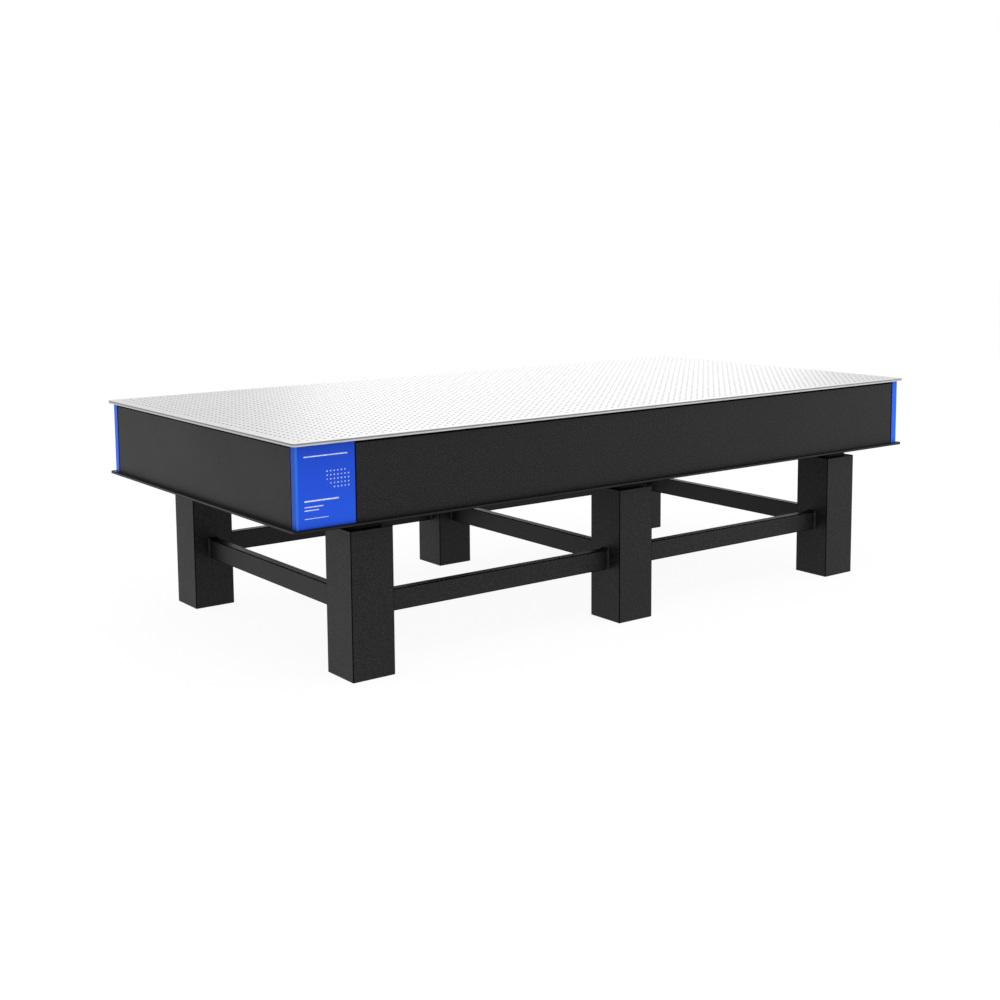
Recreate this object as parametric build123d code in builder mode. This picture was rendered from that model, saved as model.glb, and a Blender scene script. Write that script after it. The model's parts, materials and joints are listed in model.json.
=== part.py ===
"""Optical table: a deep top with a grid of tapped holes, on six square legs joined by tie beams.

All sizes are in millimetres. X runs along the table, Y across it and Z up from the floor.
The origin is on the floor under the middle of the top, and the long side at -Y is the front.
"""

import os

from build123d import *

# Top: two plates with the core and its side walls between them
top_length = 2400.0
top_width = 1200.0
top_skin_thickness = 9.0
bottom_skin_thickness = 8.0
core_height = 215.0
plate_corner_radius = 12.0
plate_edge_chamfer = 1.0
plate_overhang = 15.0

# Side walls, with the trims that close the corners
panel_thickness = 4.0
panel_gap = 1.0
trim_width = 26.0
trim_proud = 1.0
trim_corner_radius = 4.0
trim_edge_chamfer = 0.6
cover_width = 173.0

# Tapped holes: the groups of four that are cut here, on the grid that covers the top
grid_pitch = 25.0
hole_radius = 3.0
hole_mouth_radius = 3.8
cup_radius = 7.0
cup_depth = 25.0
group_pitches = 3
group_count = 3
group_step_pitches = 36

# Legs: square tubes closed by a plate at each end
leg_size = 133.0
leg_height = 411.0
leg_wall = 6.0
leg_edge_chamfer = 1.5
base_plate_thickness = 10.0
head_plate_thickness = 12.0
leg_step_length = 941.0
leg_spacing_width = 960.0

# Air-spring isolators between the legs and the top
isolator_height = 25.0
isolator_flange_size = 96.0
isolator_flange_chamfer = 12.0
isolator_flange_height = 7.0
isolator_piston_radius = 34.0
isolator_pad_radius = 42.0
isolator_pad_height = 8.0

# Tie beams: rectangular tubes between neighbouring legs
beam_height = 61.0
beam_thickness = 30.0
beam_wall = 3.0
beam_edge_chamfer = 1.2
beam_bottom = 160.0

# Levels
head_plate_level = leg_height - head_plate_thickness
bottom_skin_level = leg_height + isolator_height
core_level = bottom_skin_level + bottom_skin_thickness
top_skin_level = core_level + core_height
top_level = top_skin_level + top_skin_thickness

# Half sizes in plan
half_length = top_length / 2
half_width = top_width / 2
wall_half_length = half_length - plate_overhang
wall_half_width = half_width - plate_overhang
core_half_length = wall_half_length - panel_thickness
core_half_width = wall_half_width - panel_thickness
trim_half_length = wall_half_length + trim_proud
trim_half_width = wall_half_width + trim_proud

# Places of the six legs: name, then centre in X and Y
leg_columns = {"left": -leg_step_length, "middle": 0.0, "right": leg_step_length}
leg_rows = {"front": -leg_spacing_width / 2, "back": leg_spacing_width / 2}
leg_places = {f"{row}_{col}": (x, y) for row, y in leg_rows.items() for col, x in leg_columns.items()}

# Centres of the groups of holes, each a square of four round the centre line
group_span = group_pitches * grid_pitch
group_step = group_step_pitches * grid_pitch
group_centres = [((i - (group_count - 1) / 2) * group_step, 0.0) for i in range(group_count)]


def write_part(part, name):
    """Label a finished piece and write it as a STEP file of its own."""
    part.label = name
    export_step(part, f"parts/{name}.step")


def make_top_skin():
    """Steel plate with rounded corners, an eased rim and the groups of tapped holes."""
    with BuildPart() as skin:
        with BuildSketch(Plane.XY.offset(top_skin_level)):
            RectangleRounded(top_length, top_width, plate_corner_radius)
        extrude(amount=top_skin_thickness)
        chamfer(skin.faces().sort_by(Axis.Z)[-1].edges(), plate_edge_chamfer)
        for x, y in group_centres:
            with Locations((x, y, top_level)):
                with GridLocations(group_span, group_span, 2, 2):
                    CounterSinkHole(hole_radius, hole_mouth_radius)
    return skin.part


def make_honeycomb_core():
    """Block of the core's outer size, with the sealing cup under each hole."""
    with BuildPart() as core:
        with BuildSketch(Plane.XY.offset(core_level)):
            Rectangle(2 * core_half_length, 2 * core_half_width)
        extrude(amount=core_height)
        for x, y in group_centres:
            with Locations((x, y, top_skin_level)):
                with GridLocations(group_span, group_span, 2, 2):
                    Hole(cup_radius, depth=cup_depth)
    return core.part


def make_bottom_skin():
    """Lower plate, of the same outline as the upper one, with an eased lower rim."""
    with BuildPart() as skin:
        with BuildSketch(Plane.XY.offset(bottom_skin_level)):
            RectangleRounded(top_length, top_width, plate_corner_radius)
        extrude(amount=bottom_skin_thickness)
        chamfer(skin.faces().sort_by(Axis.Z)[0].edges(), plate_edge_chamfer)
    return skin.part


def make_wall_panel(x_low, x_high, y_low, y_high):
    """Flat sheet between the two plates, over the given box in plan."""
    with BuildPart() as panel:
        with BuildSketch(Plane.XY.offset(core_level)):
            with Locations(((x_low + x_high) / 2, (y_low + y_high) / 2)):
                Rectangle(x_high - x_low, y_high - y_low)
        extrude(amount=core_height)
    return panel.part


def make_corner_angle(x_side, y_side, width_x, width_y):
    """Angle round one corner of the core: a rounded arris and two flanges of the given widths."""
    x_outer, y_outer = x_side * trim_half_length, y_side * trim_half_width
    x_inner, y_inner = x_side * core_half_length, y_side * core_half_width
    x_end, y_end = x_outer - x_side * width_x, y_outer - y_side * width_y
    with BuildPart() as angle:
        with BuildSketch(Plane.XY.offset(core_level)) as outline:
            with BuildLine():
                Polyline(
                    (x_outer, y_outer),
                    (x_end, y_outer),
                    (x_end, y_inner),
                    (x_inner, y_inner),
                    (x_inner, y_end),
                    (x_outer, y_end),
                    close=True,
                )
            make_face()
            arris = outline.vertices().sort_by_distance((x_outer, y_outer, core_level))[0]
            fillet(arris, trim_corner_radius)
            flange_ends = [
                outline.vertices().sort_by_distance((x_end, y_outer, core_level))[0],
                outline.vertices().sort_by_distance((x_outer, y_end, core_level))[0],
            ]
            chamfer(flange_ends, trim_edge_chamfer)
        extrude(amount=core_height)
    return angle.part


def make_leg_tube(x, y):
    """Square tube with eased edges, between the base plate and the head plate."""
    with BuildPart() as tube:
        with BuildSketch(Plane((x, y, base_plate_thickness))) as section:
            Rectangle(leg_size, leg_size)
            chamfer(section.vertices(), leg_edge_chamfer)
            Rectangle(leg_size - 2 * leg_wall, leg_size - 2 * leg_wall, mode=Mode.SUBTRACT)
        extrude(amount=head_plate_level - base_plate_thickness)
    return tube.part


def make_leg_plate(x, y, bottom, thickness):
    """Plate that closes one end of a leg, flush with the tube."""
    with BuildPart() as plate:
        with BuildSketch(Plane((x, y, bottom))) as outline:
            Rectangle(leg_size, leg_size)
            chamfer(outline.vertices(), leg_edge_chamfer)
        extrude(amount=thickness)
    return plate.part


def make_isolator(x, y):
    """Air spring: square flange with cut corners, round piston and the pad under the top."""
    pad_bottom = isolator_height - isolator_pad_height
    with BuildPart() as isolator:
        with BuildSketch(Plane((x, y, leg_height))) as flange:
            Rectangle(isolator_flange_size, isolator_flange_size)
            chamfer(flange.vertices(), isolator_flange_chamfer)
        extrude(amount=isolator_flange_height)
        with BuildSketch(Plane((x, y, leg_height + isolator_flange_height))):
            Circle(isolator_piston_radius)
        extrude(amount=pad_bottom - isolator_flange_height)
        with BuildSketch(Plane((x, y, leg_height + pad_bottom))):
            Circle(isolator_pad_radius)
        extrude(amount=isolator_pad_height)
    return isolator.part


def make_tie_beam(start, end):
    """Rectangular tube between the facing sides of two legs, given by the legs' centres."""
    along = Vector(end[0] - start[0], end[1] - start[1], 0)
    direction = along.normalized()
    middle_level = beam_bottom + beam_height / 2
    foot = Vector(start[0], start[1], middle_level) + direction * (leg_size / 2)
    section = Plane(foot, x_dir=direction.cross(Vector(0, 0, 1)), z_dir=direction)
    with BuildPart() as beam:
        with BuildSketch(section) as tube:
            Rectangle(beam_thickness, beam_height)
            chamfer(tube.vertices(), beam_edge_chamfer)
            Rectangle(beam_thickness - 2 * beam_wall, beam_height - 2 * beam_wall, mode=Mode.SUBTRACT)
        extrude(amount=along.length - leg_size)
    return beam.part


os.makedirs("parts", exist_ok=True)

# The top's plates and core
write_part(make_top_skin(), "top_skin")
write_part(make_honeycomb_core(), "honeycomb_core")
write_part(make_bottom_skin(), "bottom_skin")

# The four side walls, each stopping short of the angles at its ends
trim_end_x = trim_half_length - trim_width - panel_gap
trim_end_y = trim_half_width - trim_width - panel_gap
cover_end_x = -trim_half_length + cover_width + panel_gap
write_part(make_wall_panel(cover_end_x, trim_end_x, -wall_half_width, -core_half_width), "front_panel")
write_part(make_wall_panel(-trim_end_x, trim_end_x, core_half_width, wall_half_width), "back_panel")
write_part(make_wall_panel(-wall_half_length, -core_half_length, -trim_end_y, trim_end_y), "left_panel")
write_part(make_wall_panel(core_half_length, wall_half_length, -trim_end_y, trim_end_y), "right_panel")

# The angles at the corners: a wide cover at the front left, narrow trims at the others
write_part(make_corner_angle(-1, -1, cover_width, trim_width), "corner_cover_front_left")
write_part(make_corner_angle(1, -1, trim_width, trim_width), "corner_trim_front_right")
write_part(make_corner_angle(-1, 1, trim_width, trim_width), "corner_trim_back_left")
write_part(make_corner_angle(1, 1, trim_width, trim_width), "corner_trim_back_right")

# The six legs with their plates and isolators
for place, (leg_x, leg_y) in leg_places.items():
    write_part(make_leg_tube(leg_x, leg_y), f"leg_{place}")
    write_part(make_leg_plate(leg_x, leg_y, 0, base_plate_thickness), f"base_plate_{place}")
    write_part(make_leg_plate(leg_x, leg_y, head_plate_level, head_plate_thickness), f"head_plate_{place}")
    write_part(make_isolator(leg_x, leg_y), f"isolator_{place}")

# The tie beams: two along each row of legs, and one across each column
for row in leg_rows:
    write_part(make_tie_beam(leg_places[f"{row}_left"], leg_places[f"{row}_middle"]), f"tie_beam_{row}_left")
    write_part(make_tie_beam(leg_places[f"{row}_middle"], leg_places[f"{row}_right"]), f"tie_beam_{row}_right")
for column in leg_columns:
    write_part(make_tie_beam(leg_places[f"front_{column}"], leg_places[f"back_{column}"]), f"cross_beam_{column}")
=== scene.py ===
"""Optical table: finishes, drilled top plate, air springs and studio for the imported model."""
import json
import logging
import math
from dataclasses import dataclass
from enum import Enum

import bmesh
import bpy
import numpy as np
from mathutils import Matrix, Vector


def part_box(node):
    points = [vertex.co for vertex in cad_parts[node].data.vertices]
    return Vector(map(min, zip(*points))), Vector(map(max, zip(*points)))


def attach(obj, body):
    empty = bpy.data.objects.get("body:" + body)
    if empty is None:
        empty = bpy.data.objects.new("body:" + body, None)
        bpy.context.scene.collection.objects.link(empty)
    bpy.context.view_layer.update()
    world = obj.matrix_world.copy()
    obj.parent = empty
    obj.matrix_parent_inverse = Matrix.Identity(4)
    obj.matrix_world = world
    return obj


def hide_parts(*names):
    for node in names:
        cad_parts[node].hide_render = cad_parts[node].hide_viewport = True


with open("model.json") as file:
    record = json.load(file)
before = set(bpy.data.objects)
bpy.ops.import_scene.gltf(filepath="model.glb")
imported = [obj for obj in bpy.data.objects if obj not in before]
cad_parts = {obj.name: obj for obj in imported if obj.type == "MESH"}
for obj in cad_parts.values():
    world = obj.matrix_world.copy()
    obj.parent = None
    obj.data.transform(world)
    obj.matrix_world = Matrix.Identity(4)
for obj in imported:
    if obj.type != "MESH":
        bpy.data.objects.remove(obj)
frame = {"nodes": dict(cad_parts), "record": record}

log = logging.getLogger("optical_table")

Colour = tuple[float, float, float]


class Slot(Enum):
    """Finish slots of the record."""

    STEEL_TOP = "stainless_top"
    CORE = "core_steel"
    PLATE = "black_plate"
    POWDER = "black_powder"
    TRIM = "blue_trim"
    RUBBER = "black_rubber"


class Shading(Enum):
    """How a new surface's facets are shaded."""

    FLAT = False
    SMOOTH = True


# ---- node trees ----
class Recipe:
    """One material's node tree, put together step by step."""

    def __init__(self, name: str) -> None:
        """Starts a material with a Principled shader on its output."""
        self.material = bpy.data.materials.new(name)
        self.material.use_nodes = True
        self.tree = self.material.node_tree
        self.tree.nodes.clear()
        output = self.add("ShaderNodeOutputMaterial")
        self.shader = self.add("ShaderNodeBsdfPrincipled")
        self.link(self.shader.outputs["BSDF"], output.inputs["Surface"])
        self.place = self.add("ShaderNodeTexCoord").outputs["Object"]

    def add(self, kind: str, **settings: object) -> bpy.types.Node:
        """Adds a node and sets its properties."""
        node = self.tree.nodes.new(kind)
        for key, value in settings.items():
            setattr(node, key, value)
        return node

    def link(self, source: bpy.types.NodeSocket, target: bpy.types.NodeSocket) -> None:
        """Joins two sockets."""
        self.tree.links.new(source, target)

    def constant(self, **values: object) -> None:
        """Sets constants on the shader's own sockets, an underscore standing for a space."""
        for key, value in values.items():
            self.shader.inputs[key.replace("_", " ")].default_value = value

    def stretched(self, scale: Colour) -> bpy.types.NodeSocket:
        """Object coordinates scaled per axis."""
        mapping = self.add("ShaderNodeMapping")
        mapping.inputs["Scale"].default_value = scale
        self.link(self.place, mapping.inputs["Vector"])
        return mapping.outputs["Vector"]

    def noise(self, scale: float, detail: float = 2.0, stretch: Colour = (1.0, 1.0, 1.0)) -> bpy.types.NodeSocket:
        """Fractal noise from 0 to 1.

        Args:
            scale: Number of noise cells in a metre.
            detail: Number of finer layers.
            stretch: Factor on each axis, small along a grain.

        Returns:
            The noise's value socket.
        """
        node = self.add("ShaderNodeTexNoise")
        node.inputs["Scale"].default_value = scale
        node.inputs["Detail"].default_value = detail
        self.link(self.stretched(stretch), node.inputs["Vector"])
        return node.outputs["Fac"]

    def ramp(self, source: bpy.types.NodeSocket, stops: list[tuple[float, Colour]]) -> bpy.types.NodeSocket:
        """Colours read from a value by position, blended between the stops."""
        node = self.add("ShaderNodeValToRGB")
        elements = node.color_ramp.elements
        while len(elements) < len(stops):
            elements.new(0.5)
        for element, (position, colour) in zip(elements, stops):
            element.position = position
            element.color = (*colour, 1.0)
        self.link(source, node.inputs["Fac"])
        return node.outputs["Color"]

    def between(self, source: bpy.types.NodeSocket, low: float, high: float) -> bpy.types.NodeSocket:
        """A 0 to 1 value carried to the range from low to high."""
        node = self.add("ShaderNodeMapRange")
        node.inputs["To Min"].default_value = low
        node.inputs["To Max"].default_value = high
        self.link(source, node.inputs["Value"])
        return node.outputs["Result"]

    def across(self, along: bpy.types.NodeSocket, start: float, end: float) -> bpy.types.NodeSocket:
        """A value that rises evenly from 0 to 1 between two places."""
        rise = self.add("ShaderNodeMapRange")
        rise.inputs["From Min"].default_value = start
        rise.inputs["From Max"].default_value = end
        self.link(along, rise.inputs["Value"])
        return rise.outputs["Result"]

    def near(self, along: bpy.types.NodeSocket, limit: float, reach: float) -> bpy.types.NodeSocket:
        """A value that rises from 0 to 1 over the last stretch before a limit, on either side of the middle."""
        size = self.add("ShaderNodeMath", operation="ABSOLUTE")
        self.link(along, size.inputs[0])
        return self.across(size.outputs[0], limit - reach, limit - reach * 0.3)

    def laid_over(self, share: bpy.types.NodeSocket, under: bpy.types.NodeSocket,
                  over: bpy.types.NodeSocket | Colour) -> bpy.types.NodeSocket:
        """One colour, plain or from a socket, laid over another by a share."""
        mix = self.add("ShaderNodeMix", data_type="RGBA")
        self.link(share, mix.inputs["Factor"])
        self.link(under, mix.inputs[6])
        if isinstance(over, tuple):
            mix.inputs[7].default_value = (*over, 1.0)
        else:
            self.link(over, mix.inputs[7])
        return mix.outputs[2]

    def bump(self, height: bpy.types.NodeSocket, strength: float, distance: float,
             under: bpy.types.NodeSocket | None = None) -> bpy.types.NodeSocket:
        """A relief from a height, laid over another where one is given."""
        node = self.add("ShaderNodeBump")
        node.inputs["Strength"].default_value = strength
        node.inputs["Distance"].default_value = distance
        self.link(height, node.inputs["Height"])
        if under is not None:
            self.link(under, node.inputs["Normal"])
        return node.outputs["Normal"]


def grey(level: float) -> Colour:
    """An even grey."""
    return (level, level, level)


# ---- finishes ----
@dataclass(frozen=True)
class GroundSteel:
    """Matt ground stainless plate: fine grain along X, faint haze, and a two-toned edge that is a painted reflection, a
    dark upper band over a pale lower band; its holes take the dark hole finish, a painted shade.
    """

    name: str = "ground_stainless"
    dark: float = 0.60
    pale: float = 0.75
    top: float = 0.668
    thickness: float = 0.009
    roughness: tuple[float, float] = (0.38, 0.47)

    def make(self) -> bpy.types.Material:
        """Builds the material."""
        recipe = Recipe(self.name)
        grain = recipe.noise(900.0, 3.0, (0.03, 1.0, 1.0))
        haze = recipe.noise(2.2, 4.0)
        mix = recipe.add("ShaderNodeMix", data_type="RGBA", blend_type="MULTIPLY")
        mix.inputs["Factor"].default_value = 1.0
        recipe.link(recipe.ramp(grain, [(0.35, grey(self.dark)), (0.65, grey(self.pale))]), mix.inputs[6])
        recipe.link(recipe.ramp(haze, [(0.3, grey(0.94)), (0.7, grey(1.0))]), mix.inputs[7])
        # Painted reflection on the plate's edge: bands by height, a dark upper half over a pale lower half, a pale
        # strip at the top arris and a darker foot; the top face keeps its colour.
        painted_edge_reflection = recipe.add("ShaderNodeMix", data_type="RGBA", blend_type="MULTIPLY")
        painted_edge_reflection.inputs["Factor"].default_value = 1.0
        split = recipe.add("ShaderNodeSeparateXYZ")
        recipe.link(recipe.place, split.inputs["Vector"])
        level = recipe.across(split.outputs["Z"], self.top - self.thickness, self.top)
        bands = [(0.0, grey(0.45)), (0.10, grey(0.92)), (0.45, grey(0.86)), (0.55, grey(0.34)), (0.88, grey(0.40)),
                 (0.985, grey(0.90)), (1.0, grey(1.0))]
        recipe.link(recipe.ramp(level, bands), painted_edge_reflection.inputs[7])
        recipe.link(mix.outputs[2], painted_edge_reflection.inputs[6])
        recipe.link(painted_edge_reflection.outputs[2], recipe.shader.inputs["Base Color"])
        recipe.link(recipe.between(haze, *self.roughness), recipe.shader.inputs["Roughness"])
        recipe.link(recipe.bump(grain, 0.12, 0.0002), recipe.shader.inputs["Normal"])
        recipe.constant(Metallic=1.0)
        return recipe.material


@dataclass(frozen=True)
class TappedHole:
    """Dull steel of a hole's mouth, wall and floor, painted very dark as the shade in the hole, with the thread as
    rings up its height.
    """

    name: str = "tapped_hole_painted_shade"
    thread_pitch: float = 0.001

    def make(self) -> bpy.types.Material:
        """Builds the material."""
        recipe = Recipe(self.name)
        split = recipe.add("ShaderNodeSeparateXYZ")
        recipe.link(recipe.place, split.inputs["Vector"])
        turns = recipe.add("ShaderNodeMath", operation="MULTIPLY")
        turns.inputs[1].default_value = 2 * math.pi / self.thread_pitch
        recipe.link(split.outputs["Z"], turns.inputs[0])
        wave = recipe.add("ShaderNodeMath", operation="SINE")
        recipe.link(turns.outputs[0], wave.inputs[0])
        # Painted shade: a very dark base colour for the countersink, wall and floor of each hole.
        recipe.link(recipe.ramp(recipe.noise(500.0, 2.0), [(0.3, grey(0.035)), (0.7, grey(0.075))]),
                    recipe.shader.inputs["Base Color"])
        recipe.link(recipe.bump(wave.outputs[0], 0.4, 0.0003), recipe.shader.inputs["Normal"])
        recipe.constant(Metallic=1.0, Roughness=0.55)
        return recipe.material


@dataclass(frozen=True)
class BareCore:
    """Folded steel of the core: dull, with a vertical pleat in its relief."""

    name: str = "folded_core_steel"

    def make(self) -> bpy.types.Material:
        """Builds the material."""
        recipe = Recipe(self.name)
        pleats = recipe.add("ShaderNodeTexVoronoi")
        pleats.inputs["Scale"].default_value = 1.0
        recipe.link(recipe.stretched((80.0, 80.0, 0.0)), pleats.inputs["Vector"])
        recipe.link(recipe.ramp(pleats.outputs["Distance"], [(0.0, grey(0.30)), (1.0, grey(0.48))]),
                    recipe.shader.inputs["Base Color"])
        recipe.link(recipe.bump(pleats.outputs["Distance"], 0.5, 0.002), recipe.shader.inputs["Normal"])
        recipe.constant(Metallic=1.0, Roughness=0.45)
        return recipe.material


@dataclass(frozen=True)
class PowderCoat:
    """Black coat with a fine orange-peel relief and sparse paler specks."""

    name: str = "black_powder_coat"
    base: float = 0.0015
    speck: float = 0.023
    sheen: float = 0.23
    roughness: tuple[float, float] = (0.42, 0.55)
    peel: float = 0.25
    cell: float = 340.0

    def make(self) -> bpy.types.Material:
        """Builds the material."""
        recipe = Recipe(self.name)
        fine = recipe.noise(self.cell, 2.0)
        peel = recipe.noise(self.cell * 2.2, 1.0)
        wear = recipe.noise(3.0, 3.0)
        specks = recipe.ramp(fine, [(0.47, grey(self.base * 0.5)), (0.67, grey(self.speck))])
        recipe.link(specks, recipe.shader.inputs["Base Color"])
        recipe.link(recipe.between(wear, *self.roughness), recipe.shader.inputs["Roughness"])
        relief = recipe.bump(peel, self.peel, 0.0003)
        recipe.link(recipe.bump(fine, self.peel * 0.7, 0.0004, relief), recipe.shader.inputs["Normal"])
        recipe.constant(Specular_IOR_Level=self.sheen)
        return recipe.material


@dataclass(frozen=True)
class SatinTrim:
    """Smooth satin blue paint: a slow change of tone up its height, painted light that brightens it towards the +X end,
    painted shade on the end faces turning to painted light towards their far corners, and a painted highlight along
    each corner arris.
    """

    name: str = "satin_blue_trim"
    low: Colour = (0.010, 0.095, 0.80)
    high: Colour = (0.004, 0.060, 0.60)
    # Painted shade of the end faces.
    painted_shade_end_blue: Colour = (0.0005, 0.066, 0.54)
    # Painted light: the blue towards the +X end and the far corners.
    painted_light_blue: Colour = (0.006, 0.140, 0.97)
    # Painted highlight on each corner arris.
    arris: Colour = (0.012, 0.190, 0.90)
    bottom: float = 0.44
    top: float = 0.66
    half_length: float = 1.185
    half_width: float = 0.585
    end_depth: float = 0.0006
    # Reach of the painted highlight along and across the cover.
    highlight_reach_along: float = 0.0048
    highlight_reach_across: float = 0.0050

    def make(self) -> bpy.types.Material:
        """Builds the material."""
        recipe = Recipe(self.name)
        split = recipe.add("ShaderNodeSeparateXYZ")
        recipe.link(recipe.place, split.inputs["Vector"])
        along, wide, high = (split.outputs[axis] for axis in "XYZ")
        body = recipe.ramp(recipe.across(high, self.bottom, self.top), [(0.0, self.low), (1.0, self.high)])
        # Painted light: the blue brightens towards the +X end.
        body = recipe.laid_over(recipe.across(along, 0.0, self.half_length), body, self.painted_light_blue)
        # Painted shade on the end faces, turning to painted light towards their far corners.
        end = recipe.ramp(recipe.across(wide, -self.half_width, self.half_width),
                          [(0.0, self.painted_shade_end_blue), (1.0, self.painted_light_blue)])
        body = recipe.laid_over(recipe.near(along, self.half_length, self.end_depth), body, end)
        # Painted highlight along each vertical corner arris.
        corner = recipe.add("ShaderNodeMath", operation="MULTIPLY")
        recipe.link(recipe.near(along, self.half_length, self.highlight_reach_along), corner.inputs[0])
        recipe.link(recipe.near(wide, self.half_width, self.highlight_reach_across), corner.inputs[1])
        recipe.link(recipe.laid_over(corner.outputs[0], body, self.arris), recipe.shader.inputs["Base Color"])
        cloud = recipe.noise(60.0, 3.0)
        recipe.link(recipe.between(cloud, 0.34, 0.44), recipe.shader.inputs["Roughness"])
        recipe.link(recipe.bump(recipe.noise(700.0, 1.0), 0.05, 0.0002), recipe.shader.inputs["Normal"])
        recipe.constant(Specular_IOR_Level=0.22)
        return recipe.material


@dataclass(frozen=True)
class MouldedRubber:
    """Matt black rubber with a fine grain and a little dust."""

    name: str = "moulded_rubber"

    def make(self) -> bpy.types.Material:
        """Builds the material."""
        recipe = Recipe(self.name)
        dust = recipe.noise(45.0, 4.0)
        recipe.link(recipe.ramp(dust, [(0.4, grey(0.0035)), (0.8, grey(0.008))]), recipe.shader.inputs["Base Color"])
        recipe.link(recipe.between(dust, 0.55, 0.75), recipe.shader.inputs["Roughness"])
        recipe.link(recipe.bump(recipe.noise(800.0, 2.0), 0.2, 0.0003), recipe.shader.inputs["Normal"])
        recipe.constant(Specular_IOR_Level=0.2)
        return recipe.material


@dataclass(frozen=True)
class PalePrint:
    """Thin pale ink over the blue, a little uneven."""

    name: str = "pale_print"

    def make(self) -> bpy.types.Material:
        """Builds the material."""
        recipe = Recipe(self.name)
        cover = recipe.noise(260.0, 3.0)
        recipe.link(recipe.ramp(cover, [(0.35, (0.42, 0.52, 0.88)), (0.60, (0.72, 0.78, 0.93))]),
                    recipe.shader.inputs["Base Color"])
        recipe.link(recipe.bump(cover, 0.1, 0.0001), recipe.shader.inputs["Normal"])
        recipe.constant(Roughness=0.5, Specular_IOR_Level=0.2)
        return recipe.material


class Accent(Enum):
    """Second finishes, for small faces of a piece."""

    # Painted shade of the holes.
    HOLE = "hole"
    # Painted shade along arrises.
    SHADED_ARRIS = "arris"
    # Painted shade strips under the top's rim and beside the trims.
    SHADE_STRIP = "seal"
    PRINT = "print"


class Finishes:
    """The table's materials, made once and handed out by slot or accent."""

    def __init__(self) -> None:
        """Makes every material of the record's slots."""
        self.by_slot: dict[Slot, bpy.types.Material] = {
            Slot.STEEL_TOP: GroundSteel().make(),
            Slot.CORE: BareCore().make(),
            Slot.PLATE: PowderCoat("satin_black_plate", 0.003, 0.008, 0.26, (0.36, 0.44), 0.12, 500.0).make(),
            Slot.POWDER: PowderCoat().make(),
            Slot.TRIM: SatinTrim().make(),
            Slot.RUBBER: MouldedRubber().make(),
        }
        self.accents: dict[Accent, bpy.types.Material] = {
            # Painted shade of the holes: a very dark steel.
            Accent.HOLE: TappedHole().make(),
            # Painted shade along arrises: a darker, duller black.
            Accent.SHADED_ARRIS: PowderCoat("arris_painted_shade", 0.0010, 0.0022, 0.03, (0.60, 0.75), 0.1, 500.0).make(),
            # Painted shade: the black of the strips under the top's rim and beside the trims.
            Accent.SHADE_STRIP: PowderCoat("black_painted_shade_strip", 0.0008, 0.0020, 0.03, (0.70, 0.85), 0.2, 700.0).make(),
            Accent.PRINT: PalePrint().make(),
        }

    def dress(self, piece: bpy.types.Object, slot: Slot) -> None:
        """Gives a mesh's only material place to one finish."""
        materials = piece.data.materials
        if materials:
            for index in range(len(materials)):
                materials[index] = self.by_slot[slot]
        else:
            materials.append(self.by_slot[slot])


# ---- surfaces ----
def strip_faces(rings: int, points: int, offset: int = 0) -> np.ndarray:
    """Quads between neighbouring closed rings of a grid.

    Vertex (i, k) has the number offset + i * points + k, and each quad joins (i, k), (i, k + 1),
    (i + 1, k + 1) and (i + 1, k), with k running round.

    Args:
        rings: Number of rings.
        points: Number of points in a ring.
        offset: Number of the first vertex.

    Returns:
        Vertex numbers, four to a row.
    """
    ring, point = np.meshgrid(np.arange(rings - 1), np.arange(points), indexing="ij")
    after = (point + 1) % points
    quads = np.stack((ring * points + point, ring * points + after,
                      (ring + 1) * points + after, (ring + 1) * points + point), axis=-1)
    return quads.reshape(-1, 4) + offset


def rounded_outline(half_x: float, half_y: float, radius: float, steps: int = 8) -> np.ndarray:
    """Points of a rectangle with round corners, anticlockwise.

    Each corner is its centre plus radius times (cos t, sin t), with t over a quarter turn in equal steps.

    Args:
        half_x: Half the length.
        half_y: Half the width.
        radius: Corner radius.
        steps: Steps in a corner.

    Returns:
        Points as rows of x and y.
    """
    quarter = np.linspace(0.0, math.pi / 2, steps + 1)
    turns = (np.arange(4)[:, None] * math.pi / 2 + quarter[None, :]).ravel()
    signs = np.repeat(np.array([(1, 1), (-1, 1), (-1, -1), (1, -1)], float), steps + 1, axis=0)
    centres = signs * (half_x - radius, half_y - radius)
    return centres + radius * np.stack((np.cos(turns), np.sin(turns)), axis=-1)


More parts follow.
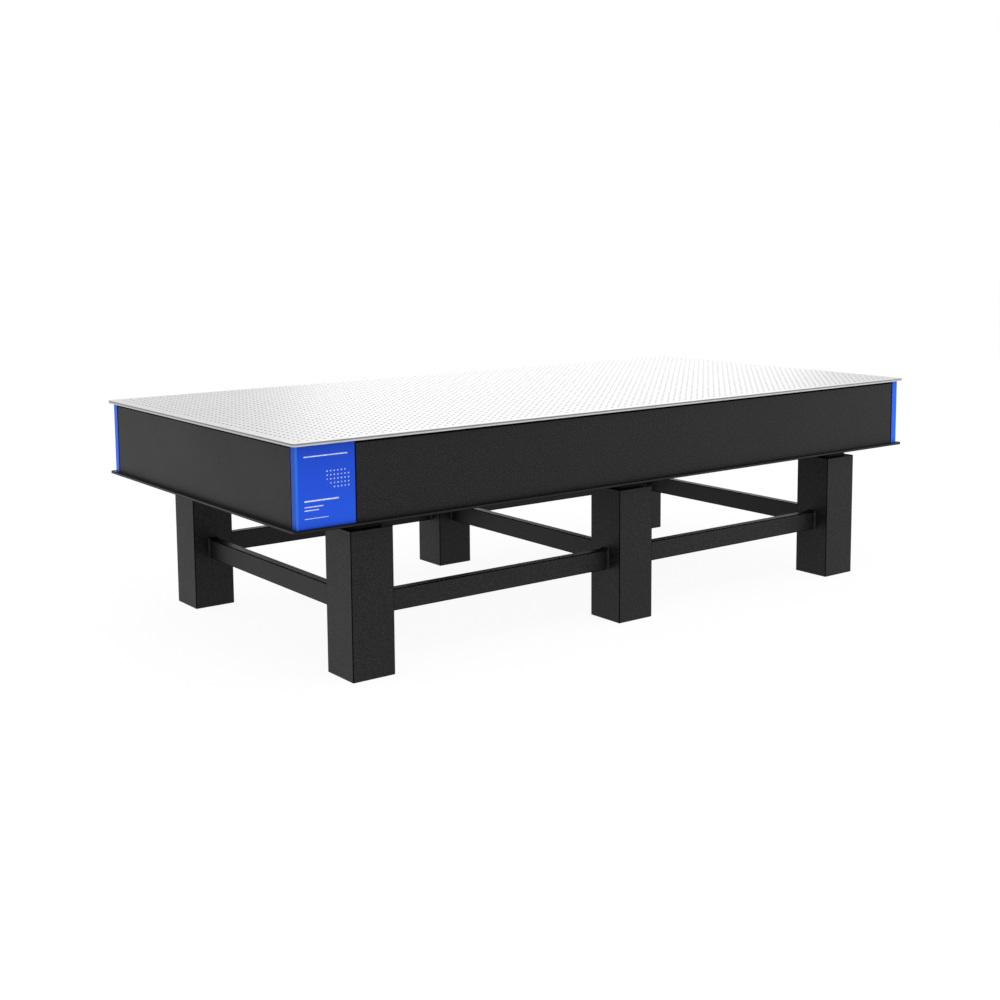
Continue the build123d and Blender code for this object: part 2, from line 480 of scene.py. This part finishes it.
class Surface:
    """A new piece's mesh from arrays of vertices and faces."""

    def __init__(self, name: str, vertices: np.ndarray, faces: list[list[int]], shading: Shading,
                 accented: np.ndarray | None = None) -> None:
        """Puts the arrays into a mesh, welds its seams and turns its faces outwards.

        Args:
            name: The piece's name.
            vertices: Grid or rows of points.
            faces: Vertex numbers of each face.
            shading: Flat or smooth facets.
            accented: For each face, whether it takes the second finish.
        """
        mesh = bpy.data.meshes.new(name)
        mesh.from_pydata(vertices.reshape(-1, 3).tolist(), [], faces)
        if accented is not None:
            mesh.polygons.foreach_set("material_index", accented.astype(np.int32))
        shell = bmesh.new()
        shell.from_mesh(mesh)
        bmesh.ops.remove_doubles(shell, verts=shell.verts, dist=1e-6)
        bmesh.ops.recalc_face_normals(shell, faces=shell.faces)
        shell.to_mesh(mesh)
        shell.free()
        mesh.polygons.foreach_set("use_smooth", np.full(len(mesh.polygons), shading.value))
        self.piece = bpy.data.objects.new(name, mesh)
        bpy.context.scene.collection.objects.link(self.piece)

    def fit(self, finishes: Finishes, slot: Slot, *nodes: str, accent: Accent | None = None,
            only: Accent | None = None) -> bpy.types.Object:
        """Dresses the piece, puts it on the body and lets it stand for its nodes.

        Args:
            finishes: The table's materials.
            slot: Slot of its finish.
            nodes: Nodes of the model that it stands for.
            accent: Second finish, of the accented faces.
            only: Accent that the whole piece takes in place of its slot's finish.

        Returns:
            The piece.
        """
        if only is not None:
            self.piece.data.materials.append(finishes.accents[only])
        else:
            finishes.dress(self.piece, slot)
        if accent is not None:
            self.piece.data.materials.append(finishes.accents[accent])
        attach(self.piece, "root")
        if nodes:
            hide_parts(*nodes)
        log.info("%s: %d faces", self.piece.name, len(self.piece.data.polygons))
        return self.piece


@dataclass
class DrilledPlate:
    """Upper steel plate with its whole grid of tapped holes, in bands along X, and its rim."""

    pitch: float = 0.025
    columns: int = 94
    rows: int = 46
    hole_radius: float = 0.003
    mouth_radius: float = 0.0038
    mouth_depth: float = 0.0008
    sides: int = 12
    bands: int = 3
    corner_radius: float = 0.012
    edge_round: float = 0.001

    def __post_init__(self) -> None:
        """Reads the plate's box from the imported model."""
        self.low, self.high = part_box("top_skin")

    def hole_cells(self, columns: np.ndarray) -> tuple[np.ndarray, list[list[int]]]:
        """Square cells of plate, each with a countersunk hole.

        Ring 0 is the cell's square, half a pitch over the larger of |cos t| and |sin t|. Rings 1 to 3 are circles
        at the mouth, under the countersink and at the hole's foot. The angle t starts at 15 degrees, so that a
        twelve-sided ring has a point in each corner, and neighbouring cells share their border points.

        Args:
            columns: Numbers of the columns to make.

        Returns:
            Vertices as rows of x, y and z, and faces.
        """
        turn = np.radians(180.0 / self.sides) + np.arange(self.sides) * 2 * math.pi / self.sides
        ray = np.stack((np.cos(turn), np.sin(turn)), axis=-1)
        square = self.pitch / 2 / np.abs(ray).max(axis=1)
        radii = np.stack((square, *(np.full(self.sides, r) for r in
                                    (self.mouth_radius, self.hole_radius, self.hole_radius))))
        heights = np.array([self.high.z, self.high.z, self.high.z - self.mouth_depth, self.low.z + 0.0003])
        cell = np.empty((4, self.sides, 3))
        cell[:, :, :2] = radii[:, :, None] * ray[None, :, :]
        cell[:, :, 2] = heights[:, None]
        x = (columns - (self.columns - 1) / 2) * self.pitch
        y = (np.arange(self.rows) - (self.rows - 1) / 2) * self.pitch
        centres = np.stack((*np.meshgrid(x, y, indexing="ij"), np.zeros((len(x), len(y)))), axis=-1).reshape(-1, 3)
        vertices = centres[:, None, None, :] + cell[None]
        starts = np.arange(len(centres)) * cell.shape[0] * self.sides
        quads = (starts[:, None, None] + strip_faces(4, self.sides)[None]).reshape(-1, 4)
        floors = starts[:, None] + 3 * self.sides + np.arange(self.sides)[None]
        return vertices.reshape(-1, 3), quads.tolist() + floors.tolist()

    def rim(self) -> tuple[np.ndarray, list[list[int]]]:
        """Border of the plate: one closed profile carried round the outline.

        The profile runs from the grid's edge outwards over the top, down a rounded arris, down the edge and back
        under the plate. Each profile point is the outline moved inwards by its inset, at its height.

        Returns:
            Vertices as rows of x, y and z, and faces.
        """
        half_x, half_y = self.high.x, self.high.y
        arc = np.linspace(0.0, math.pi / 2, 4)
        insets = np.concatenate((self.edge_round * (1 - np.sin(arc)), self.edge_round * (1 - np.cos(arc[::-1])) * 0.5))
        levels = np.concatenate((self.high.z - self.edge_round * (1 - np.cos(arc)),
                                 self.low.z + self.edge_round * 0.5 * (1 - np.sin(arc[::-1]))))
        rings = [np.column_stack((rounded_outline(half_x - i, half_y - i, self.corner_radius - i), np.full(36, z)))
                 for i, z in zip(insets, levels)]
        inner = rounded_outline(self.columns * self.pitch / 2, self.rows * self.pitch / 2, 0.0)
        rings.insert(0, np.column_stack((inner, np.full(36, self.high.z))))
        rings.append(np.column_stack((inner, np.full(36, self.low.z))))
        rings.append(rings[0])
        stack = np.stack(rings)
        return stack.reshape(-1, 3), strip_faces(len(rings), 36).tolist()

    def build(self, finishes: Finishes) -> list[bpy.types.Object]:
        """Makes the bands and the rim, which together stand for the plate's node."""
        made = [Surface("drilled_rim", *self.rim(), Shading.FLAT).fit(finishes, Slot.STEEL_TOP, "top_skin")]
        for number, columns in enumerate(np.array_split(np.arange(self.columns), self.bands), start=1):
            vertices, faces = self.hole_cells(columns)
            cells = len(columns) * self.rows
            # The countersink, wall and floor of each hole take the hole finish, a painted shade.
            in_hole = np.concatenate((np.tile(np.repeat((False, True, True), self.sides), cells), np.full(cells, True)))
            surface = Surface(f"drilled_field_{number}", vertices, faces, Shading.FLAT, in_hole)
            made.append(surface.fit(finishes, Slot.STEEL_TOP, "top_skin", accent=Accent.HOLE))
        return made


@dataclass
class AirSpring:
    """Isolator on a leg: square flange with cap screws, rolled diaphragm, piston and the pad under the top."""

    node: str
    flange: float = 0.048
    flange_height: float = 0.007
    flange_corner: float = 0.012
    roll_outer: float = 0.043
    piston: float = 0.034
    pad: float = 0.042
    height: float = 0.030
    screw_place: float = 0.0385
    screw_radius: float = 0.0042
    turns: int = 64

    def __post_init__(self) -> None:
        """Reads the isolator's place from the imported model."""
        low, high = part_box(self.node)
        self.middle = np.array(((low.x + high.x) / 2, (low.y + high.y) / 2, low.z))

    def lofted(self, rings: list[np.ndarray]) -> tuple[np.ndarray, list[list[int]]]:
        """Closed stack of level rings, its first and last ring capped by one face each.

        Args:
            rings: Rings of equal length as rows of x, y and z, from the lowest upwards.

        Returns:
            Vertices and faces.
        """
        points = len(rings[0])
        faces = strip_faces(len(rings), points).tolist()
        last = (len(rings) - 1) * points
        faces += [list(range(points)), list(range(last, last + points))[::-1]]
        return np.concatenate(rings) + self.middle, faces

    def flange_shape(self) -> tuple[np.ndarray, list[list[int]]]:
        """Square flange: a rounded outline moved in by its inset at each height, eased at its top arris."""
        insets, levels = (0.0008, 0.0, 0.0, 0.0004, 0.0012), (0.0, 0.0008, 0.0056, 0.0066, 0.0070)
        return self.lofted([
            np.column_stack((rounded_outline(self.flange - i, self.flange - i, self.flange_corner), np.full(36, z)))
            for i, z in zip(insets, levels)])

    def turned_shape(self) -> tuple[np.ndarray, list[list[int]]]:
        """Body turned about the leg's axis: x = r cos t, y = r sin t.

        The profile is half an ellipse for the diaphragm's roll, from the clamp ring in to the piston, then straight
        runs with eased corners up the piston and round the pad.
        """
        sweep = np.linspace(0.0, math.pi, 11)
        centre, half = (self.roll_outer + self.piston) / 2, (self.roll_outer - self.piston) / 2
        roll = np.column_stack((centre + half * np.cos(sweep), 0.0085 + 0.0062 * np.sin(sweep)))
        foot = [(self.roll_outer + 0.0015, self.flange_height - 0.0002), (self.roll_outer + 0.0015, 0.0080),
                (self.roll_outer + 0.0008, 0.0087)]
        head = [(self.piston, 0.0195), (self.piston - 0.0012, 0.0205), (self.piston - 0.0012, 0.0222),
                (self.pad - 0.0008, 0.0222), (self.pad, 0.0230), (self.pad, self.height - 0.0008),
                (self.pad - 0.0008, self.height)]
        turn = np.arange(self.turns) * 2 * math.pi / self.turns
        return self.lofted([np.column_stack((r * np.cos(turn), r * np.sin(turn), np.full(self.turns, z)))
                            for r, z in np.vstack((foot, roll, head))])

    def screw_shapes(self) -> list[tuple[np.ndarray, list[list[int]]]]:
        """Four cap screws on the flange's corners, each a turned head with a socket sunk in it."""
        turn = np.arange(16) * 2 * math.pi / 16
        radii = self.screw_radius * np.array((1.0, 1.0, 0.86, 0.52, 0.52))
        levels = self.flange_height + np.array((-0.0002, 0.0030, 0.0036, 0.0036, 0.0012))
        head = [np.column_stack((r * np.cos(turn), r * np.sin(turn), np.full(16, z))) for r, z in zip(radii, levels)]
        corners = np.array([(x, y, 0.0) for x in (-1, 1) for y in (-1, 1)]) * self.screw_place
        return [self.lofted([ring + corner for ring in head]) for corner in corners]

    def build(self, finishes: Finishes) -> bpy.types.Object:
        """Joins flange, body and screws in one mesh."""
        vertices, faces, start = [], [], 0
        for points, polygons in (self.flange_shape(), self.turned_shape(), *self.screw_shapes()):
            vertices.append(points)
            faces += [[corner + start for corner in polygon] for polygon in polygons]
            start += len(points)
        surface = Surface(f"air_spring_{self.node[9:]}", np.concatenate(vertices), faces, Shading.SMOOTH)
        piece = surface.fit(finishes, Slot.RUBBER, self.node)
        piece.data.set_sharp_from_angle(angle=math.radians(35))
        return piece


@dataclass
class PrintedPanel:
    """Plain pale pattern on the blue cover: a rule, a field of dots like the top's grid, and a few short bars."""

    relief: float = 0.0002
    dot: float = 0.0016
    dot_step: float = 0.0105

    def __post_init__(self) -> None:
        """Reads the cover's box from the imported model."""
        self.low, self.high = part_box("corner_cover_front_left")

    def tiles(self, centres: np.ndarray, sizes: np.ndarray) -> tuple[np.ndarray, list[list[int]]]:
        """Flat raised tiles on the cover's front.

        Corner k of a tile is its centre plus half its size times (cos t, sin t) scaled to the tile's square, on
        two levels, the face and its foot in the cover.

        Args:
            centres: Rows of x and z.
            sizes: Rows of width and height.

        Returns:
            Vertices and faces.
        """
        signs = np.array([(-1, -1), (1, -1), (1, 1), (-1, 1)], float)
        corners = centres[:, None, :] + signs[None] * sizes[:, None, :] / 2
        tile = np.empty((len(centres), 2, 4, 3))
        tile[..., 0] = corners[:, None, :, 0]
        tile[..., 2] = corners[:, None, :, 1]
        tile[:, 0, :, 1] = self.low.y + 0.0001
        tile[:, 1, :, 1] = self.low.y - self.relief
        starts = np.arange(len(centres)) * 8
        walls = (starts[:, None, None] + strip_faces(2, 4)[None]).reshape(-1, 4)
        caps = np.concatenate((starts[:, None] + np.arange(4)[::-1], starts[:, None] + 4 + np.arange(4)))
        return tile.reshape(-1, 3), np.concatenate((walls, caps)).tolist()

    def build(self, finishes: Finishes) -> bpy.types.Object:
        """Lays out the pattern and prints it pale."""
        width, height = self.high.x - self.low.x, self.high.z - self.low.z
        across, up = np.meshgrid(np.arange(7), np.arange(5), indexing="ij")
        keep = (across + up >= 2) & (across + up <= 9)
        dots = np.column_stack((across[keep], up[keep])) * self.dot_step
        dots += (self.low.x + 0.52 * width, self.low.z + 0.47 * height)
        bars = np.array([(0.50, 0.86, 0.74, 0.0030), (0.42, 0.33, 0.58, 0.0040), (0.29, 0.26, 0.32, 0.0026),
                         (0.25, 0.22, 0.24, 0.0026), (0.33, 0.12, 0.40, 0.0018)])
        bar_centres = np.column_stack((self.low.x + bars[:, 0] * width, self.low.z + bars[:, 1] * height))
        centres = np.vstack((dots, bar_centres))
        sizes = np.vstack((np.full((len(dots), 2), 2 * self.dot), np.column_stack((bars[:, 2] * width, bars[:, 3]))))
        surface = Surface("cover_pattern", *self.tiles(centres, sizes), Shading.FLAT)
        return surface.fit(finishes, Slot.TRIM, only=Accent.PRINT)


def carried_section(section: np.ndarray, rings: list[tuple[float, float]], origin: np.ndarray,
                    axes: np.ndarray) -> tuple[np.ndarray, list[list[int]]]:
    """A section carried along a straight path, with its ends closed.

    A point is origin + x * axes[0] + y * axes[1] + t * axes[2], where (x, y) is the section's point drawn in by the
    ring's inset towards the middle, and t is the ring's place on the path.

    Args:
        section: Rows of x and y, anticlockwise.
        rings: Place on the path and inset, in order.
        origin: Where the path starts.
        axes: Two section directions and the path's direction.

    Returns:
        Vertices and faces.
    """
    stack = np.empty((len(rings), len(section), 3))
    for number, (place, inset) in enumerate(rings):
        drawn = section - np.sign(section) * inset
        stack[number] = origin + drawn @ axes[:2] + place * axes[2]
    points, last = len(section), (len(rings) - 1) * len(section)
    faces = strip_faces(len(rings), points).tolist()
    faces += [list(range(points)), list(range(last, last + points))[::-1]]
    return stack.reshape(-1, 3), faces


@dataclass
class SquareLeg:
    """Square tube leg welded shut by its foot and head plates, with softened arrises and fine weld lines; the arrises,
    the eased ends and the foot are darkened as painted shade.
    """

    place: str
    arris: float = 0.0022
    foot_plate: float = 0.010
    head_plate: float = 0.012
    groove: float = 0.0003

    def build(self, finishes: Finishes) -> bpy.types.Object:
        """Carries the rounded square up the leg, drawn in at both ends and at the two weld lines."""
        low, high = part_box(f"leg_{self.place}")
        half, height = (high.x - low.x) / 2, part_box(f"head_plate_{self.place}")[1].z
        section = rounded_outline(half, half, self.arris, 4)
        soft = self.arris * 0.8
        rings = [(0.0, soft), (soft * 0.3, soft * 0.3), (soft, 0.0)]
        for seam in (self.foot_plate, height - self.head_plate):
            rings += [(seam - self.groove, 0.0), (seam, self.groove), (seam + self.groove, 0.0)]
        rings += [(height - soft, 0.0), (height - soft * 0.3, soft * 0.3), (height, soft)]
        middle = np.array(((low.x + high.x) / 2, (low.y + high.y) / 2, 0.0))
        vertices, faces = carried_section(section, rings, middle, np.eye(3))
        # Painted shade: the rounded corner faces, the eased ends and the foot take the darker arris finish.
        at_corner = np.tile(np.arange(len(section)) % 5 != 4, len(rings) - 1)
        level = np.repeat(np.arange(len(rings) - 1), len(section))
        at_end = (level < 2) | (level >= len(rings) - 3)
        accented = np.concatenate((at_corner | at_end, (True, False)))
        surface = Surface(f"square_leg_{self.place}", vertices, faces, Shading.FLAT, accented)
        nodes = [f"{part}_{self.place}" for part in ("leg", "base_plate", "head_plate")]
        return surface.fit(finishes, Slot.POWDER, *nodes, accent=Accent.SHADED_ARRIS)


@dataclass
class WeldedBeam:
    """Box-section beam with softened arrises darkened as painted shade, and a fillet weld round each end where it meets
    its leg.
    """

    node: str
    arris: float = 0.0025
    weld: float = 0.0035

    def build(self, finishes: Finishes) -> bpy.types.Object:
        """Carries the rounded section from leg to leg, widened at both ends to the toe of the weld."""
        low, high = (np.array(corner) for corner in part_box(self.node))
        size = high - low
        along = int(size[:2].argmax())
        across = [(along + 1) % 3, (along + 2) % 3]
        start = (low + high) / 2
        start[along] = low[along]
        section = rounded_outline(*(size[across] / 2), self.arris, 4)
        flare = [(0.0, -self.weld), (self.weld * 0.5, -self.weld * 0.7), (self.weld, -self.weld * 0.15),
                 (self.weld * 1.3, 0.0)]
        rings = flare + [(size[along] - place, inset) for place, inset in reversed(flare)]
        vertices, faces = carried_section(section, rings, start, np.eye(3)[[*across, along]])
        # Painted shade: the rounded arrises along the beam take the darker arris finish.
        level, corner = np.divmod(np.arange((len(rings) - 1) * len(section)), len(section))
        accented = np.concatenate(((level == len(flare) - 1) & (corner % 5 != 4), (False, False)))
        surface = Surface(f"welded_{self.node}", vertices, faces, Shading.FLAT, accented)
        return surface.fit(finishes, Slot.POWDER, self.node, accent=Accent.SHADED_ARRIS)


@dataclass
class LowerPlate:
    """Lower plate with rounded corners and its two edges softened, the softened edges darkened as painted shade."""

    corner: float = 0.012
    arris: float = 0.0014

    def build(self, finishes: Finishes) -> bpy.types.Object:
        """Carries the rounded outline up the plate's thickness, drawn in at both faces."""
        low, high = (np.array(corner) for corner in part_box("bottom_skin"))
        half, thick = (high - low) / 2, float(high[2] - low[2])
        section = rounded_outline(half[0], half[1], self.corner, 8)
        soft = self.arris
        lower = [(0.0, soft), (soft * 0.3, soft * 0.3), (soft, 0.0)]
        rings = lower + [(thick - place, inset) for place, inset in reversed(lower)]
        middle = (low + high) / 2
        middle[2] = low[2]
        vertices, faces = carried_section(section, rings, middle, np.eye(3))
        # Painted shade: both rounded arrises take the darker arris finish, and the straight edge keeps the plate's
        # finish.
        level = np.arange((len(rings) - 1) * len(section)) // len(section)
        accented = np.concatenate((level != len(lower) - 1, (False, False)))
        surface = Surface("lower_plate", vertices, faces, Shading.FLAT, accented)
        return surface.fit(finishes, Slot.PLATE, "bottom_skin", accent=Accent.SHADED_ARRIS)


@dataclass
class PaintedShadeStrips:
    """Black strips laid as painted shade: under the top's rim, and beside each corner trim."""

    width: float = 0.0080
    gap_width: float = 0.0028
    proud: float = 0.0006

    def bar(self, low: tuple[float, float, float],
            high: tuple[float, float, float]) -> tuple[np.ndarray, list[list[int]]]:
        """A bar between two corners: its rounded cross section carried along its longest side."""
        low, high = np.array(low), np.array(high)
        size = high - low
        along = int(size.argmax())
        across = [(along + 1) % 3, (along + 2) % 3]
        half = size[across] / 2
        ease = float(half.min() * 0.5)
        section = rounded_outline(half[0], half[1], ease, 3)
        start = (low + high) / 2
        start[along] = low[along]
        rings = [(0.0, ease), (ease, 0.0), (size[along] - ease, 0.0), (size[along], ease)]
        return carried_section(section, rings, start, np.eye(3)[[*across, along]])

    def build(self, finishes: Finishes) -> bpy.types.Object:
        """Lays the painted-shade strips on each wall's outer face, all in one mesh."""
        bars = []
        for name, axis, side in (("front", 1, -1), ("back", 1, 1), ("left", 0, -1), ("right", 0, 1)):
            low, high = (np.array(corner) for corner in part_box(f"{name}_panel"))
            face = low[axis] if side < 0 else high[axis]
            low[axis], high[axis] = sorted((face + side * self.proud, face - side * 0.001))
            rim = low.copy()
            rim[2] = high[2] - self.width
            bars.append(self.bar(rim, high))
            other = 1 - axis
            for end in (low, high):
                first, second = low.copy(), high.copy()
                inward = self.gap_width if end is low else -self.gap_width
                first[other], second[other] = sorted((end[other], end[other] + inward))
                bars.append(self.bar(first, second))
        starts = np.cumsum([0] + [len(vertices) for vertices, _ in bars[:-1]])
        faces = [[corner + int(start) for corner in face] for start, (_, part) in zip(starts, bars) for face in part]
        surface = Surface("painted_shade_strips", np.concatenate([vertices for vertices, _ in bars]), faces, Shading.FLAT)
        return surface.fit(finishes, Slot.PLATE, only=Accent.SHADE_STRIP)


class FrameWork:
    """Nodes of the model that keep their own shape: walls, trims, legs, plates and beams."""

    def dress(self, finishes: Finishes) -> None:
        """Gives each node the finish of its slot in the record."""
        for part in frame["record"]["subparts"]:
            finishes.dress(frame["nodes"][part["node"]], Slot(part["material_slot"]))
            log.info("%s: %s", part["node"], part["material_slot"])


# ---- studio ----
@dataclass(frozen=True)
class SoftLamp:
    """Square area lamp: where it hangs, what it faces, its side and its power."""

    name: str
    place: Colour
    aim: Colour
    size: float
    power: float

    def hang(self) -> None:
        """Adds the lamp to the scene, out of the camera's sight."""
        data = bpy.data.lights.new(self.name, "AREA")
        data.size, data.energy = self.size, self.power
        lamp = bpy.data.objects.new(self.name, data)
        bpy.context.scene.collection.objects.link(lamp)
        lamp.location = self.place
        lamp.visible_camera = False
        ahead = Vector(self.aim) - Vector(self.place)
        lamp.rotation_mode = "QUATERNION"
        lamp.rotation_quaternion = ahead.to_track_quat("-Z", "Y")


@dataclass
class Studio:
    """Camera, white floor and background, and plain soft light."""

    place: Colour = (-2.92268, -3.75845, 1.20418)
    yaw: float = 36.8642
    pitch: float = 6.8922
    roll: float = -0.4190
    focal_pixels: float = 1445.60
    centre_row: float = 400.0
    ambient: float = 0.80

    def camera(self) -> None:
        """Sets the camera: yaw from +Y towards +X, pitch downwards, and roll about the line of sight."""
        yaw, pitch, roll = (math.radians(v) for v in (self.yaw, self.pitch, self.roll))
        ahead = np.array((math.sin(yaw) * math.cos(pitch), math.cos(yaw) * math.cos(pitch), -math.sin(pitch)))
        right = np.array((math.cos(yaw), -math.sin(yaw), 0.0))
        up = np.cross(right, ahead)
        turned_right = math.cos(roll) * right + math.sin(roll) * up
        turned_up = math.cos(roll) * up - math.sin(roll) * right
        matrix = np.eye(4)
        matrix[:3, :3] = np.column_stack((turned_right, turned_up, -ahead))
        matrix[:3, 3] = self.place
        data = bpy.data.cameras.new("studio_camera")
        data.sensor_width = 36.0
        data.lens = self.focal_pixels / 1000 * 36.0
        data.shift_y = (self.centre_row - 499.5) / 1000
        data.clip_start, data.clip_end = 0.1, 200.0
        camera = bpy.data.objects.new("studio_camera", data)
        bpy.context.scene.collection.objects.link(camera)
        camera.matrix_world = Matrix(matrix.tolist())
        bpy.context.scene.camera = camera

    def background(self) -> None:
        """White world for camera, glossy and transmitted rays, and even soft light for the rest."""
        world = bpy.data.worlds.new("studio_world")
        bpy.context.scene.world = world
        world.use_nodes = True
        tree = world.node_tree
        tree.nodes.clear()
        output = tree.nodes.new("ShaderNodeOutputWorld")
        light = tree.nodes.new("ShaderNodeBackground")
        seen = tree.nodes.new("ShaderNodeBackground")
        mix = tree.nodes.new("ShaderNodeMixShader")
        light.inputs["Color"].default_value = (1.0, 1.0, 1.0, 1.0)
        light.inputs["Strength"].default_value = self.ambient
        seen.inputs["Color"].default_value = (1.0, 1.0, 1.0, 1.0)
        seen.inputs["Strength"].default_value = 1.0
        tree.links.new(self.direct_ray(tree), mix.inputs["Fac"])
        tree.links.new(light.outputs[0], mix.inputs[1])
        tree.links.new(seen.outputs[0], mix.inputs[2])
        tree.links.new(mix.outputs[0], output.inputs["Surface"])

    def direct_ray(self, tree: bpy.types.NodeTree) -> bpy.types.NodeSocket:
        """1 on a camera, glossy or transmitted ray, and 0 on any other."""
        path = tree.nodes.new("ShaderNodeLightPath")
        first = tree.nodes.new("ShaderNodeMath")
        second = tree.nodes.new("ShaderNodeMath")
        first.operation = second.operation = "MAXIMUM"
        tree.links.new(path.outputs["Is Camera Ray"], first.inputs[0])
        tree.links.new(path.outputs["Is Glossy Ray"], first.inputs[1])
        tree.links.new(first.outputs[0], second.inputs[0])
        tree.links.new(path.outputs["Is Transmission Ray"], second.inputs[1])
        return second.outputs[0]

    def floor(self) -> None:
        """Lays a wide round floor, white when seen, which still takes a soft shadow."""
        recipe = Recipe("studio_floor")
        recipe.constant(Roughness=0.9, Specular_IOR_Level=0.0)
        mottle = recipe.noise(1.5, 2.0)
        recipe.link(recipe.ramp(mottle, [(0.0, grey(0.90)), (1.0, grey(0.94))]), recipe.shader.inputs["Base Color"])
        white = recipe.add("ShaderNodeEmission")
        white.inputs["Strength"].default_value = 1.03
        share = recipe.add("ShaderNodeMath", operation="MULTIPLY")
        share.inputs[1].default_value = 0.91
        mix = recipe.add("ShaderNodeMixShader")
        recipe.link(self.direct_ray(recipe.tree), share.inputs[0])
        recipe.link(share.outputs[0], mix.inputs["Fac"])
        recipe.link(recipe.shader.outputs["BSDF"], mix.inputs[1])
        recipe.link(white.outputs[0], mix.inputs[2])
        output = next(n for n in recipe.tree.nodes if n.type == "OUTPUT_MATERIAL")
        recipe.link(mix.outputs[0], output.inputs["Surface"])
        turn = np.arange(96) * 2 * math.pi / 96
        reach = np.array([0.0, 3.0, 9.0, 30.0])[:, None]
        grid = np.stack((reach * np.cos(turn), reach * np.sin(turn), np.full((4, 96), -0.0005)), axis=-1)
        floor = Surface("studio_floor", grid, strip_faces(4, 96)[:, ::-1].tolist(), Shading.FLAT).piece
        floor.data.materials.append(recipe.material)

    def lamps(self) -> None:
        """Hangs a wide soft lamp over the front, a glow at the right end and one behind the top."""
        for lamp in (
            SoftLamp("soft_overhead", (-1.0, -2.5, 4.5), (0.0, 0.0, 0.5), 4.0, 60.0),
            SoftLamp("right_glow", (6.8, -2.8, 1.3), (1.0, -0.4, 0.4), 3.0, 50.0),
            SoftLamp("back_glow", (5.7, 6.9, 2.1), (0.3, 0.2, 0.66), 5.0, 76.0),
        ):
            lamp.hang()

    def build(self) -> None:
        """Sets up the whole studio."""
        self.camera()
        self.background()
        self.floor()
        self.lamps()
        bpy.context.scene.view_settings.view_transform = "Standard"


def main() -> None:
    """Builds the studio and the table."""
    logging.basicConfig(level=logging.INFO, format="%(name)s %(message)s")
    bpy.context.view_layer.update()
    Studio().build()
    finishes = Finishes()
    FrameWork().dress(finishes)
    DrilledPlate().build(finishes)
    for node in sorted(name for name in frame["nodes"] if name.startswith("isolator_")):
        AirSpring(node).build(finishes)
        SquareLeg(node[9:]).build(finishes)
    for node in sorted(name for name in frame["nodes"] if "_beam_" in name):
        WeldedBeam(node).build(finishes)
    LowerPlate().build(finishes)
    PaintedShadeStrips().build(finishes)
    PrintedPanel().build(finishes)


if __name__ == "__main__":
    main()
